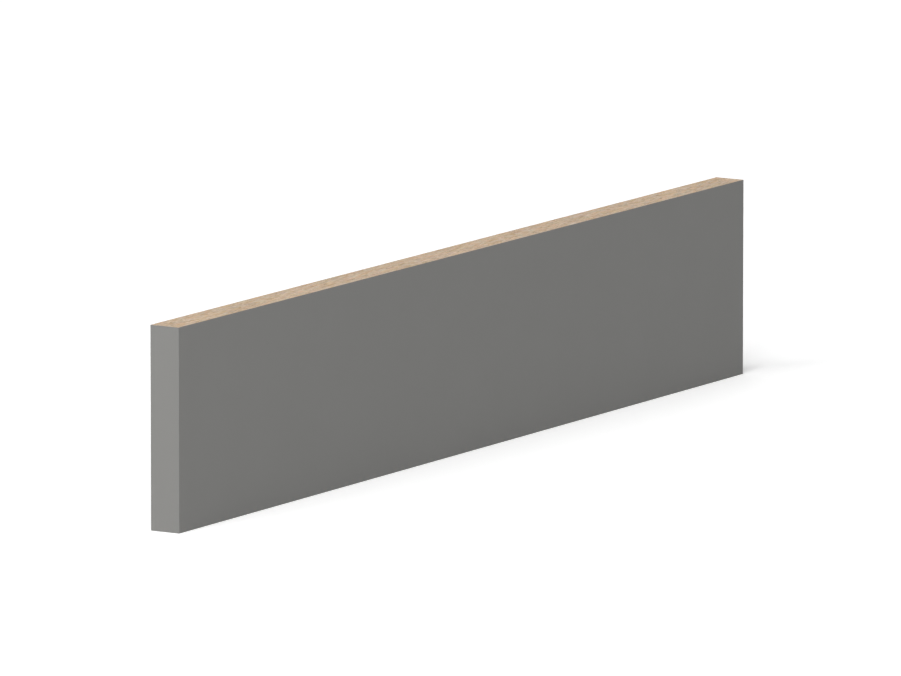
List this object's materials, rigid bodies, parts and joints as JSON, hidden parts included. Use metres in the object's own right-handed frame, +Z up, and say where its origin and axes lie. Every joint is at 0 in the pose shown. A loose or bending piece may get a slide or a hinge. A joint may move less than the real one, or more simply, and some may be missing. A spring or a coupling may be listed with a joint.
{
  "type": "plinth board",
  "caption": "Straight rectangular plinth board that stands on its long edge, grey-coated on its faces and ends, with a bare chipboard top edge.",
  "frame": {"origin": "middle of the floor edge: centred along the length and through the thickness, at the level of the floor", "axes": "+X along the length, +Y through the thickness from the show face to the back, +Z up from the floor edge to the bare top edge"},
  "size_m": [0.6, 0.018, 0.112],
  "materials": {
    "coated_board": "matte"
  },
  "bodies": {
    "root": {"plinth_board": "coated_board"}
  },
  "joints": []
}
